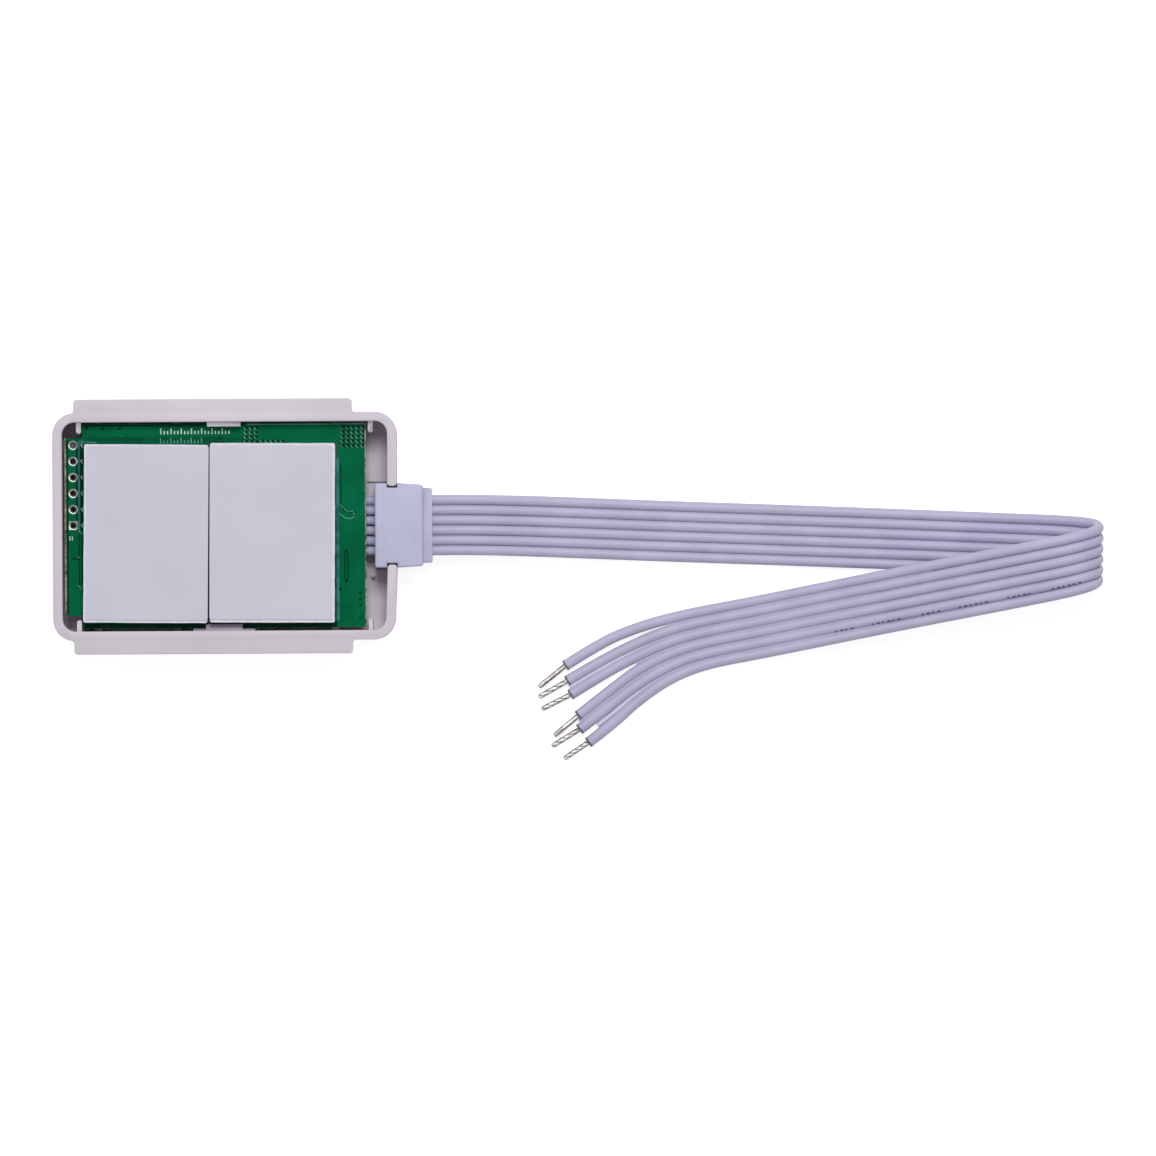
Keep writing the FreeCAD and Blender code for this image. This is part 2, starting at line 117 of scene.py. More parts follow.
def join(finish, source, output, target, entry):
    """Wire from one node's output to another node's input."""
    finish.node_tree.links.new(source.outputs[output], target.inputs[entry])


def cloud(finish, scale, detail=3.0, stretch=(1, 1, 1)):
    """Soft noise in the piece's own space, with its size given in cycles per metre."""
    place = add_node(finish, "ShaderNodeTexCoord")
    squeeze = add_node(finish, "ShaderNodeMapping", Scale=stretch)
    pattern = add_node(finish, "ShaderNodeTexNoise", Scale=scale, Detail=detail)
    join(finish, place, "Object", squeeze, "Vector")
    join(finish, squeeze, "Vector", pattern, "Vector")
    return pattern


def blend_colours(finish, factor, output, first, second):
    """Base colour between two others, led by another node; sockets 6 and 7 take colours."""
    mix = finish.node_tree.nodes.new("ShaderNodeMix")
    mix.data_type = "RGBA"
    mix.inputs[6].default_value = first
    mix.inputs[7].default_value = second
    join(finish, factor, output, mix, 0)
    join(finish, mix, 2, finish.node_tree.nodes["Principled BSDF"], "Base Color")


def mottle(finish, dark, light, scale, stretch=(1, 1, 1)):
    """Base colour that drifts between two close tones."""
    pattern = cloud(finish, scale, stretch=stretch)
    spread = add_node(finish, "ShaderNodeMapRange", From_Min=0.35, From_Max=0.65)
    join(finish, pattern, "Fac", spread, "Value")
    blend_colours(finish, spread, "Result", dark, light)


def uneven_shine(finish, low, high, scale):
    """Roughness that wanders between two values."""
    pattern = cloud(finish, scale)
    spread = add_node(finish, "ShaderNodeMapRange", To_Min=low, To_Max=high)
    join(finish, pattern, "Fac", spread, "Value")
    join(finish, spread, "Result", finish.node_tree.nodes["Principled BSDF"], "Roughness")


def grain(finish, scale, depth):
    """Fine bumps, with their depth in metres."""
    pattern = cloud(finish, scale, detail=4.0)
    bump = add_node(finish, "ShaderNodeBump", Strength=1.0, Distance=depth)
    join(finish, pattern, "Fac", bump, "Height")
    join(finish, bump, "Normal", finish.node_tree.nodes["Principled BSDF"], "Normal")


print("finish helpers ready")

# %% [markdown]
# ## Floor and light
# The picture has a pure white ground and a very soft light from all round, with a little
# more of it from above. The floor and the sky look white only to camera, mirror and glass
# rays, so the object is lit by no more than a plain level of light. The floor still takes a
# faint shadow.

# %% Sky and floor
def seen_directly(tree):
    """Output whose value is 1 for camera, mirror and glass rays and 0 for others."""
    path = tree.nodes.new("ShaderNodeLightPath")
    total = path.outputs["Is Camera Ray"]
    for ray in ("Is Glossy Ray", "Is Transmission Ray"):
        either = tree.nodes.new("ShaderNodeMath")
        either.operation = "MAXIMUM"
        tree.links.new(total, either.inputs[0])
        tree.links.new(path.outputs[ray], either.inputs[1])
        total = either.outputs[0]
    return total


sky_level = 0.43
sky = bpy.data.worlds.new("soft_sky")
scene.world = sky
sky.use_nodes = True
sky_tree = sky.node_tree
sky_strength = add_node(sky, "ShaderNodeMapRange", To_Min=sky_level, To_Max=1.0)
sky_tree.links.new(seen_directly(sky_tree), sky_strength.inputs["Value"])
sky_tree.nodes["Background"].inputs["Color"].default_value = (1, 1, 1, 1)
join(sky, sky_strength, "Result", sky_tree.nodes["Background"], "Strength")

floor_half = 1.5
floor_drop = 0.02 * mm
floor_grey = (0.72, 0.72, 0.72, 1)
floor_white = 0.74
floor_bm = bmesh.new()
bmesh.ops.create_grid(floor_bm, x_segments=1, y_segments=1, size=floor_half)
bmesh.ops.translate(floor_bm, vec=(view_width / 3, 0, -floor_drop), verts=floor_bm.verts)
floor_mesh = bpy.data.meshes.new("floor")
floor_bm.to_mesh(floor_mesh)
floor_bm.free()
floor = bpy.data.objects.new("floor", floor_mesh)
scene.collection.objects.link(floor)

floor_finish = bpy.data.materials.new("white_paper_floor")
floor_finish.use_nodes = True
floor_tree = floor_finish.node_tree
floor_tree.nodes.remove(floor_tree.nodes["Principled BSDF"])
floor_paper = add_node(floor_finish, "ShaderNodeBsdfDiffuse", Color=floor_grey)
floor_glow = add_node(floor_finish, "ShaderNodeEmission")
floor_sum = add_node(floor_finish, "ShaderNodeAddShader")
floor_level = add_node(floor_finish, "ShaderNodeMapRange", To_Min=0.0, To_Max=floor_white)
floor_tree.links.new(seen_directly(floor_tree), floor_level.inputs["Value"])
join(floor_finish, floor_level, "Result", floor_glow, "Strength")
join(floor_finish, floor_paper, 0, floor_sum, 0)
join(floor_finish, floor_glow, 0, floor_sum, 1)
join(floor_finish, floor_sum, 0, floor_tree.nodes["Material Output"], "Surface")
floor_mesh.materials.append(floor_finish)
print("floor and sky ready")

# %% [markdown]
# One large square lamp hangs high up beyond the upper edge of the picture. Its size keeps
# the shadows soft. The share that it adds to a flat white surface is chosen first, and the
# power follows from that share, the distance and the slant.

# %% Soft lamp above the tray
lamp_share = 0.52
lamp_side = 0.3
lamp_distance = 0.9
lamp_left_tilt = math.radians(-3)
lamp_upper_tilt = math.radians(27)
lamp_aim = Vector((30 * mm, 0, 0))
lamp_way = Vector((-math.tan(lamp_left_tilt), math.tan(lamp_upper_tilt), 1)).normalized()
lamp_data = bpy.data.lights.new("soft_lamp", "AREA")
lamp_data.shape = "SQUARE"
lamp_data.size = lamp_side
lamp_data.energy = lamp_share * math.pi ** 2 * lamp_distance ** 2 / lamp_way.z
lamp = bpy.data.objects.new("soft_lamp", lamp_data)
lamp.location = lamp_aim + lamp_way * lamp_distance
lamp.rotation_euler = lamp_way.to_track_quat("Z", "Y").to_euler()
scene.collection.objects.link(lamp)
print("lamp power", round(lamp_data.energy, 2), "W")

# %% [markdown]
# ## Wires
# Six soft wires leave the strain relief side by side as one flat ribbon, run along the
# table, fold up and over, come back across themselves and part into six tails. A curve
# with a round bevel is the natural way to model such a wire: its NURBS line is smooth
# however few points it has. The points are the same as those of the solid wires.

# %% Route of the ribbon and of each wire
wire_pitch = 1.6
wire_count = 6
wire_height = 4.35
relief_end = 32.84
lead_end = 20.5
jacket_radius = 0.835
table_clearance = 0.9
ribbon_route = [  # x, y, z, lean, spread
    (38.4, 0.06, 4.35, 0.0, 1.0),
    (50.6, -0.3, 1.55, -0.04, 1.0),
    (68.2, -1.1, 0.86, -0.04, 1.0),
    (97.6, -2.24, 0.80, -0.041, 1.0),
    (121.4, -3.3, 0.80, -0.045, 1.0),
    (136.5, -4.05, 0.80, -0.03, 1.02),
    (139.12, -5.15, 6.35, -0.02, 1.045),
    (135.7, -6.6, 11.2, 0.02, 1.045),
    (124.0, -8.88, 8.55, 0.13, 1.045),
    (104.2, -12.6, 4.45, 0.19, 1.045),
    (84.4, -16.56, 1.3, 0.2, 1.045),
]
tail_routes = [
    [(76.0, -13.81), (70.2, -15.03), (65.0, -16.51), (59.5, -18.74), (53.9, -22.32)],
    [(76.0, -15.45), (70.2, -16.88), (65.0, -18.95), (59.6, -21.61), (54.2, -24.77)],
    [(76.0, -17.17), (70.2, -18.76), (65.0, -21.04), (59.9, -23.71), (54.7, -26.95)],
    [(76.0, -18.88), (70.2, -20.62), (65.0, -23.3), (60.5, -26.68), (55.9, -30.28)],
    [(76.0, -20.56), (70.2, -22.54), (65.0, -25.6), (60.5, -29.09), (56.1, -32.46)],
    [(76.0, -22.26), (70.2, -24.6), (65.0, -28.23), (61.2, -31.8), (57.5, -34.55)],
]
strand_lengths = [5.6, 5.4, 5.3, 5.15, 5.3, 4.8]
strand_slants = [38.6, 29.4, 26.7, 39.7, 31.3, 33.4]


def lane_offset(index):
    """Distance of a wire from the ribbon's middle line, positive towards -Y."""
    return (index - (wire_count - 1) / 2) * wire_pitch


def wire_points(index):
    """Points of one wire in millimetres, from the strain relief to its jacket's end."""
    offset = lane_offset(index)
    points = [Vector((relief_end, -offset, wire_height))]
    for x, y, z, lean, spread in ribbon_route:
        across = Vector((lean, -1, 0)).normalized()
        points.append(Vector((x, y, max(z, table_clearance))) + across * (offset * spread))
    points += [Vector((x, y, table_clearance)) for x, y in tail_routes[index]]
    return points


print("points on each wire", len(wire_points(0)))

# %% [markdown]
# The jacket is soft PVC in a pale lavender grey. It is matt, with a slightly uneven shine
# and a very fine grain from the extruder, so it gets all three effects at small strength.

# %% Finish of the wire jackets
jacket_colour = paint(180, 178, 205)
jacket_finish = new_finish("lavender_pvc_jacket", jacket_colour, 0.5, Specular_IOR_Level=0.4)
mottle(jacket_finish, paint(177, 174, 202), paint(184, 181, 208), 160)
uneven_shine(jacket_finish, 0.44, 0.56, 420)
grain(jacket_finish, 2600, 0.006 * mm)
print("jacket finish ready")

# %% Helper for a round soft line
def round_line(name, points, shares, radius, bevel_steps, finish):
    """Round NURBS curve along points in millimetres, with its radius scaled by shares."""
    line = bpy.data.curves.new(name, "CURVE")
    line.dimensions = "3D"
    spline = line.splines.new("NURBS")
    spline.points.add(len(points) - 1)
    for spot, point, share in zip(spline.points, points, shares):
        spot.co = (*(point * mm), 1)
        spot.radius = share
    spline.order_u = 3
    spline.use_endpoint_u = True
    spline.resolution_u = 14
    line.bevel_depth = radius * mm
    line.bevel_resolution = bevel_steps
    line.use_fill_caps = True
    line.materials.append(finish)
    piece = bpy.data.objects.new(name, line)
    scene.collection.objects.link(piece)
    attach(piece, "switch")
    return piece


# %% The six wires
loose_share = 1.05
squeezed_share = 0.95
held_shares = [squeezed_share] * 2 + [1.0] * (len(ribbon_route) - 1)
wire_shares = held_shares + [loose_share] * len(tail_routes[0])
wires = []
for index in range(wire_count):
    name = f"wire_jacket_{index + 1}"
    wire = round_line(name, wire_points(index), wire_shares, jacket_radius, 6, jacket_finish)
    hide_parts(f"wire_{index + 1}")
    wires.append(wire)
print("wires", len(wires))

# %% [markdown]
# A thin web of the same plastic bonds each wire to the next. Where the tails fan out it has torn
# open between some of them and still holds others, so a slim rod with the middle line of two
# neighbours stands for it there. It ends where the two wires part. Two of the webs are pulled thin
# between the tails, and their colour fades from the jacket's to a paler one along the X axis: a
# painted highlight along the web.

# %% Finish of the two webs with a painted highlight
highlight_full_x = 63 * mm
highlight_end_x = 68 * mm
highlight_colour = paint(208, 206, 222)
web_highlight_finish = new_finish("web_painted_highlight", jacket_colour, 0.5, Specular_IOR_Level=0.4)
web_place = add_node(web_highlight_finish, "ShaderNodeTexCoord")
web_axes = add_node(web_highlight_finish, "ShaderNodeSeparateXYZ")
web_fade = add_node(web_highlight_finish, "ShaderNodeMapRange", From_Min=highlight_full_x, From_Max=highlight_end_x)
join(web_highlight_finish, web_place, "Object", web_axes, "Vector")
join(web_highlight_finish, web_axes, "X", web_fade, "Value")
blend_colours(web_highlight_finish, web_fade, "Result", highlight_colour, jacket_colour)
uneven_shine(web_highlight_finish, 0.44, 0.56, 420)
print("web finish ready")

# %% [markdown]
# Each rod starts with the ribbon's last two points and follows as many points of the tails
# as the list of ends says. A fraction ends it between two of them.

# %% Webs between the tails
web_radius = 0.38
web_start = len(ribbon_route) - 1
web_ends = [2, 5, 3, 5, 4.5]
web_finishes = [jacket_finish, web_highlight_finish, jacket_finish, jacket_finish, web_highlight_finish]
for index, kept in enumerate(web_ends):
    pairs = zip(wire_points(index), wire_points(index + 1))
    middles = [(first + second) / 2 for first, second in pairs][web_start:]
    whole = int(kept) + 2
    between = middles[:whole]
    if kept > int(kept):
        between.append(middles[whole - 1].lerp(middles[whole], kept - int(kept)))
    name = f"web_{index + 1}_to_{index + 2}"
    even = [1.0] * len(between)
    round_line(name, between, even, web_radius, 3, web_finishes[index])

# %% [markdown]
# Every wire ends bare. The copper strands are lightly twisted and dipped in solder, which leaves a
# bright lobed rod with a slow twist and a rounded tip. A circle with pressed-in grooves is
# extruded in small steps, and each step turns it a little further, as twisting does. The solder is
# bright on top. The bottom of the grooves is dark brown, partly flux and partly painted shade, and
# the faces low on the sides get the same dark brown as painted shade.

# %% Helper that turns a bmesh into a piece
def make_piece(bm, name, finishes, body="switch", sharp_angle=35):
    """Object at the origin from a bmesh in metres, riding on a body of the model."""
    mesh = bpy.data.meshes.new(name)
    for face in bm.faces:
        face.smooth = True
    bm.to_mesh(mesh)
    bm.free()
    mesh.set_sharp_from_angle(angle=math.radians(sharp_angle))
    for finish in finishes:
        mesh.materials.append(finish)
    piece = bpy.data.objects.new(name, mesh)
    scene.collection.objects.link(piece)
    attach(piece, body)
    return piece


def grow_ring(bm, ring):
    """Extrude a ring of edges in place; returns the new points and the new ring."""
    grown = bmesh.ops.extrude_edge_only(bm, edges=ring)["geom"]
    points = [item for item in grown if isinstance(item, bmesh.types.BMVert)]
    fresh = set(points)
    new_ring = [
        item
        for item in grown
        if isinstance(item, bmesh.types.BMEdge) and all(vert in fresh for vert in item.verts)
    ]
    return points, new_ring


print("piece helpers ready")

# %% Finishes of the tinned ends
tin_finish = new_finish("tinned_strands", paint(212, 208, 206), 0.34, Metallic=0.5)
mottle(tin_finish, paint(186, 181, 178), paint(234, 231, 229), 900)
uneven_shine(tin_finish, 0.24, 0.44, 1500)
grain(tin_finish, 3000, 0.01 * mm)
# Dark brown: flux in the grooves, and painted shade there and low on the sides.
flux_and_shade_finish = new_finish("flux_and_painted_shade", paint(90, 77, 74), 0.6, Metallic=0.3)
mottle(flux_and_shade_finish, paint(64, 52, 50), paint(116, 102, 98), 900)
# The cut face is painted dark: painted shade.
cut_shade_finish = new_finish("cut_end_painted_shade", paint(118, 114, 130), 0.8, Specular_IOR_Level=0.1)
mottle(cut_shade_finish, paint(98, 94, 110), paint(138, 134, 150), 900)
print("tin finishes ready")

# %% Shape of a tinned end
strand_radius = 0.4
strand_root = 0.3
strand_lobes = 4
lobe_points = 9
groove_share = 0.78
twist_steps = 26
tip_step_share = 0.02
tip_scales = [0.95, 0.88, 0.74, 0.5]
side_shade_level = 0.72
flux_reach = 0.8
flux_length_share = 0.9
cut_radius = 0.9
cut_taper = 0.94
cut_depth = 0.34
round_segments = 28


def twisted_end(name, start, heading, length, twist):
    """Lobed rod that twists along its heading and closes in a round tip."""
    bm = bmesh.new()
    bmesh.ops.create_circle(
        bm, cap_ends=True, segments=strand_lobes * lobe_points, radius=strand_radius * mm
    )
    for spot, vert in enumerate(bm.verts):
        if spot % lobe_points == lobe_points // 2:
            vert.co *= groove_share
    ring = bm.edges[:]
    tip_step = length * tip_step_share
    rise = (length - tip_step * len(tip_scales)) / twist_steps
    turn = Matrix.Rotation(math.radians(twist / twist_steps), 3, "Z")
    lifts = [rise] * twist_steps + [tip_step] * len(tip_scales)
    sizes = [1.0] * twist_steps + tip_scales
    before = 1.0
    for lift, size in zip(lifts, sizes):
        points, ring = grow_ring(bm, ring)
        bmesh.ops.translate(bm, vec=(0, 0, lift * mm), verts=points)
        bmesh.ops.rotate(bm, matrix=turn, verts=points)
        bmesh.ops.scale(bm, vec=(size / before, size / before, 1), verts=points)
        before = size
    bmesh.ops.contextual_create(bm, geom=ring)
    bmesh.ops.recalc_face_normals(bm, faces=bm.faces)
    grooved = []
    flux_end = length * flux_length_share * mm
    for face in bm.faces:
        nearest = min(math.hypot(vert.co.x, vert.co.y) for vert in face.verts)
        on_side = len(face.verts) == 4 and face.calc_center_median().z < flux_end
        if on_side and nearest < strand_radius * flux_reach * mm:
            grooved.append(face)
    lie = heading.to_track_quat("Z", "Y").to_matrix()
    bmesh.ops.rotate(bm, matrix=lie, verts=bm.verts)
    bm.normal_update()
    for face in bm.faces:
        # Faces that look down or sideways get the dark brown as painted shade.
        face.material_index = 1 if face.normal.z < side_shade_level else 0
    for face in grooved:
        face.material_index = 1
    bmesh.ops.translate(bm, vec=start * mm, verts=bm.verts)
    return make_piece(bm, name, [tin_finish, flux_and_shade_finish], sharp_angle=60)


def cut_end(name, place, heading):
    """Thin disc at the end of a jacket, painted dark as shade on the face that the cutter left."""
    bm = bmesh.new()
    bmesh.ops.create_cone(
        bm,
        cap_ends=True,
        segments=round_segments,
        radius1=cut_radius * mm,
        radius2=cut_radius * mm * cut_taper,
        depth=cut_depth * mm,
    )
    bmesh.ops.rotate(bm, matrix=heading.to_track_quat("Z", "Y").to_matrix(), verts=bm.verts)
    bmesh.ops.translate(bm, vec=(place + heading * cut_depth / 4) * mm, verts=bm.verts)
    return make_piece(bm, name, [cut_shade_finish])


twists = [30, 330, 400, 45, 380, 430]
for index in range(wire_count):
    points = wire_points(index)
    slant = math.radians(strand_slants[index])
    heading = Vector((-math.cos(slant), -math.sin(slant), 0))
    end = twisted_end(
        f"twisted_end_{index + 1}",
        points[-1] - heading * strand_root,
        heading,
        strand_lengths[index] + strand_root,
        twists[index],
    )
    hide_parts(f"tinned_end_{index + 1}")
    along = (points[-1] - points[-2]).normalized()
    cut_end(f"cut_end_painted_shade_{index + 1}", points[-1], along)

# %% [markdown]
# Behind the strain relief each wire goes on alone to its solder joint under the board. A
# short round jacket stands for it, with its cut end a little rounded.

# %% Wires inside the tray
inner_radius = 0.7
inner_rounding = 0.12
for index in range(wire_count):
    bm = bmesh.new()
    bmesh.ops.create_cone(
        bm,
        cap_ends=True,
        segments=round_segments,
        radius1=inner_radius * mm,
        radius2=inner_radius * mm,
        depth=(relief_end - lead_end) * mm,
    )
    rims = [edge for edge in bm.edges if abs(edge.verts[0].co.z - edge.verts[1].co.z) < 1e-6]
    bmesh.ops.bevel(
        bm,
        geom=rims,
        offset=inner_rounding * mm,
        segments=2,
        affect="EDGES",
        profile=0.5,
        material=-1,
    )
    bmesh.ops.rotate(bm, matrix=Matrix.Rotation(math.radians(90), 3, "Y"), verts=bm.verts)
    middle = Vector(((lead_end + relief_end) / 2, -lane_offset(index), wire_height))
    bmesh.ops.translate(bm, vec=middle * mm, verts=bm.verts)
    lead = make_piece(bm, f"inner_jacket_{index + 1}", [jacket_finish])
    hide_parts(f"inner_lead_{index + 1}")

# %% [markdown]
# Groups of small black dashes are printed along the fifth wire, low on the side that faces
# the sixth. Each dash is a thin rod that lies almost wholly inside the jacket, so that only
# a flat sliver of it shows. Its place is read from the wire's own smooth line.

# %% Printed dashes on the fifth wire
printed_wire = 4
dash_groups = [
    (96.5, 99.4),
    (102.3, 107.1),
    (110.2, 113.1),
    (116.1, 120.7),
    (123.7, 128.0),
    (130.7, 135.7),
]
dash_length = 0.5
short_dash_share = 0.7
dash_pitch = 0.82
dash_radius = 0.19
dash_sink = 0.12
dash_angle = math.radians(44)

ink_finish = new_finish("black_wire_print", paint(52, 46, 66), 0.6)
mottle(ink_finish, paint(40, 34, 54), paint(84, 78, 104), 2500)

bare_line = wires[printed_wire].data.copy()
bare_line.bevel_depth = 0
guide = bpy.data.objects.new("guide", bare_line)
line_mesh = bpy.data.meshes.new_from_object(guide)
line_points = [vert.co.copy() for vert in line_mesh.vertices]
bpy.data.objects.remove(guide)
bpy.data.meshes.remove(line_mesh)
fold = max(range(len(line_points)), key=lambda spot: line_points[spot].x)
return_run = line_points[fold:]


def on_return_run(x):
    """Point on the wire's skin above the return run at x millimetres."""
    for near, far in zip(return_run, return_run[1:]):
        if far.x <= x * mm <= near.x:
            middle = near.lerp(far, (near.x - x * mm) / (near.x - far.x))
            along = (far - near).normalized()
            side = along.cross(Vector((0, 0, 1))).normalized()
            if side.y > 0:
                side = -side
            out = Vector((0, 0, 1)) * math.cos(dash_angle) + side * math.sin(dash_angle)
            return middle + out * (jacket_radius - dash_sink) * mm
    raise ValueError(f"no point of the return run at {x}")


dashes = bpy.data.curves.new("printed_dashes", "CURVE")
dashes.dimensions = "3D"
for first, last in dash_groups:
    for step in range(round((last - first) / dash_pitch)):
        x = first + step * dash_pitch
        share = 1.0 if step % 2 else short_dash_share
        spline = dashes.splines.new("POLY")
        spline.points.add(1)
        spline.points[0].co = (*on_return_run(x), 1)
        spline.points[1].co = (*on_return_run(x + dash_length * share), 1)
dashes.bevel_depth = dash_radius * mm
dashes.bevel_resolution = 2
dashes.use_fill_caps = True
dashes.materials.append(ink_finish)
printed_dashes = bpy.data.objects.new("printed_dashes", dashes)
scene.collection.objects.link(printed_dashes)
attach(printed_dashes, "switch")
print("dashes", len(dashes.splines))

# %% [markdown]
# Each wire's far end is bare.

print("cords declared", len(wires))

# %% [markdown]
# ## Moulded plastics
# The tray is a light warm grey ABS with a fine eroded grain, and the strain relief is a
# softer lavender PVC. Moulded edges are never sharp, and a softly rounded edge catches the
# light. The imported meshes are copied, cleaned and bevelled for that. The slack is how far
# a point or an edge may lie from the plane that it is picked by.

# %% Soft-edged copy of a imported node
slack = 0.01
flat_angle = math.radians(0.8)
sharp_from = math.radians(32)


def cleaned_copy(node):
    """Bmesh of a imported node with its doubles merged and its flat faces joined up."""
    bm = bmesh.new()
    bm.from_mesh(nodes[node].data)
    bmesh.ops.remove_doubles(bm, verts=bm.verts, dist=0.002 * mm)
    bmesh.ops.dissolve_limit(bm, angle_limit=flat_angle, verts=bm.verts, edges=bm.edges)
    return bm


def soften(bm, radius, segments, chosen, outer=True):
    """Round the sharp outer or inner edges whose middle, in millimetres, passes a test."""
    sharp = []
    for edge in bm.edges:
        middle = (edge.verts[0].co + edge.verts[1].co) / (2 * mm)
        if edge.is_manifold and edge.calc_face_angle() > sharp_from:
            if edge.is_convex == outer and chosen(middle):
                sharp.append(edge)
    bmesh.ops.bevel(
        bm,
        geom=sharp,
        offset=radius * mm,
        segments=segments,
        affect="EDGES",
        profile=0.5,
        material=-1,
    )
    return len(sharp)


print("copy helpers ready")

# %% [markdown]
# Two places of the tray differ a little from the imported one: the shoulder of the upper snap
# hook lies higher, and the lower right corner is drawn in to the left. The corners where
# the flanges leave the long walls are filled, and the edges of the rim are rounded.

# %% Tray
tray_finish = new_finish("warm_grey_abs", paint(205, 198, 207), 0.55, Specular_IOR_Level=0.35)
mottle(tray_finish, paint(202, 195, 205), paint(208, 201, 209), 90)
uneven_shine(tray_finish, 0.48, 0.62, 300)
grain(tray_finish, 1500, 0.02 * mm)

case_height = 9.0
rim_rounding = 0.15
upper_hook_face = 15.82
hook_reach = 4
low_shoulder = (7.2, 7.5)
hook_shoulder = 8.45
tray_bm = cleaned_copy("housing_tray")
for vert in tray_bm.verts:
    spot = vert.co / mm
    on_hook = abs(spot.y - upper_hook_face) < 2 * slack and abs(spot.x) < hook_reach
    if on_hook and low_shoulder[0] < spot.z < low_shoulder[1]:
        vert.co.z = hook_shoulder * mm
corner_start_x = 22.5
corner_start_y = -14.0
corner_run = 3
corner_warp = 0.28
for vert in tray_bm.verts:
    spot = vert.co / mm
    if spot.x > corner_start_x and spot.y < corner_start_y:
        vert.co.x -= corner_warp * min(1, (spot.x - corner_start_x) / corner_run) * mm
flange_ends = (-23.9, 20.2)
half_width = 18.05
root_slack = 0.05
root_fillet = 0.5


def at_flange_root(middle):
    """True on the upright corners between the ends of the flanges and the long walls."""
    near_end = min(abs(middle.x - end) for end in flange_ends) < root_slack
    return near_end and abs(abs(middle.y) - half_width) < root_slack


filled = soften(tray_bm, root_fillet, 4, at_flange_root, outer=False)
print("flange roots filled", filled)
rounded = soften(tray_bm, rim_rounding, 3, lambda middle: middle.z > case_height - slack)
tray = make_piece(tray_bm, "moulded_tray", [tray_finish])
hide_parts("housing_tray")
print("tray edges rounded", rounded)

# %% Strain relief
relief_finish = new_finish("lavender_relief", paint(186, 186, 213), 0.5, Specular_IOR_Level=0.35)
mottle(relief_finish, paint(183, 183, 210), paint(189, 189, 216), 220)
uneven_shine(relief_finish, 0.44, 0.58, 400)
grain(relief_finish, 2000, 0.015 * mm)

relief_bm = cleaned_copy("strain_relief")
relief_top = 8.7
relief_inner = 23.76
relief_shoulder = 31.34
relief_rounding = 0.36
passage_side = 5.7
inner_flange_side = 6


def on_relief_outline(middle):
    """True on the top outline, the shoulder and the collar, and false in the passage."""
    upright = middle.x > relief_shoulder - slack and abs(middle.y) > passage_side
    inner_corner = middle.x < relief_inner + slack and abs(middle.y) > inner_flange_side
    return middle.z > relief_top - slack or upright or inner_corner


rounded = soften(relief_bm, relief_rounding, 4, on_relief_outline)
relief = make_piece(relief_bm, "moulded_relief", [relief_finish])
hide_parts("strain_relief")
print("relief edges rounded", rounded)

# %% [markdown]
# The gate of the mould has left a low round ridge on top of the relief. A full turn of a
# small outline makes it, and the header rings and the vias are turned in the same way.

# %% Helper for turned rings
def spin_ring(bm, centre, outline, steps, turn=math.tau):
    """Turn an outline of (radius, height) points about an upright axis, in millimetres."""
    count = len(outline)
    corners = [bm.verts.new((centre + Vector((radius, 0, z))) * mm) for radius, z in outline]
    rim = [bm.edges.new((corners[k], corners[(k + 1) % count])) for k in range(count)]
    bmesh.ops.spin(
        bm,
        geom=corners + rim,
        cent=centre * mm,
        axis=(0, 0, 1),
        angle=turn,
        steps=steps,
        use_merge=turn == math.tau,
    )


# %% Gate mark on the strain relief
gate_centre = Vector((25.9, 0.2, relief_top))
gate_outline = [(0.84, -0.05), (0.92, 0.045), (1.02, 0.045), (1.1, -0.05)]
gate_steps = 40
gate_bm = bmesh.new()
spin_ring(gate_bm, gate_centre, gate_outline, gate_steps)
bmesh.ops.remove_doubles(gate_bm, verts=gate_bm.verts, dist=0.001 * mm)
bmesh.ops.recalc_face_normals(gate_bm, faces=gate_bm.faces)
gate_mark = make_piece(gate_bm, "relief_gate_mark", [relief_finish])
print("gate mark faces", len(gate_mark.data.polygons))

# %% [markdown]
# ## Circuit board
# The laminate is covered with green solder mask on its two faces. Its sawn edges show the
# bare glass fibre laminate, also where the saw has taken a little off the top of the left
# and right edges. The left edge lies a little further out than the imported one, and the
# lower edge a little further in.

# %% Board faces, edges and hole walls
mask_finish = new_finish("green_solder_mask", paint(0, 99, 62), 0.34, Specular_IOR_Level=0.03)
mottle(mask_finish, paint(0, 93, 56), paint(0, 105, 68), 180)
uneven_shine(mask_finish, 0.28, 0.42, 500)
grain(mask_finish, 700, 0.01 * mm)

edge_finish = new_finish("sawn_laminate_edge", paint(150, 140, 118), 0.8)
mottle(edge_finish, paint(72, 62, 50), paint(206, 196, 180), 1300, stretch=(1, 1, 0.3))
grain(edge_finish, 3500, 0.03 * mm)

board_bottom = 5.2
board_top = 6.8
board_left = -25.2
board_right = 22.35
board_side = 16.25
left_shift = 0.2
lower_shift = 0.2
left_saw_cut = 0.26
right_saw_cut = 0.16
flat_level = 0.95
board_bm = cleaned_copy("circuit_board")
for vert in board_bm.verts:
    if vert.co.x < (board_left + slack) * mm:
        vert.co.x -= left_shift * mm
    if vert.co.y < (slack - board_side) * mm:
        vert.co.y += lower_shift * mm


def sawn_left(middle):
    """True on the upper rim of the board's left edge."""
    return middle.z > board_top - slack and middle.x < board_left + slack


def sawn_right(middle):
    """True on the upper rim of the board's right edge."""
    return middle.z > board_top - slack and middle.x > board_right - slack


rounded = soften(board_bm, left_saw_cut, 1, sawn_left)
rounded += soften(board_bm, right_saw_cut, 1, sawn_right)
board_bm.normal_update()
for face in board_bm.faces:
    face.material_index = 0 if abs(face.normal.z) > flat_level else 1
board = make_piece(board_bm, "dressed_board", [mask_finish, edge_finish])
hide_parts("circuit_board")
print("board faces", len(board.data.polygons), "sawn rims", rounded)
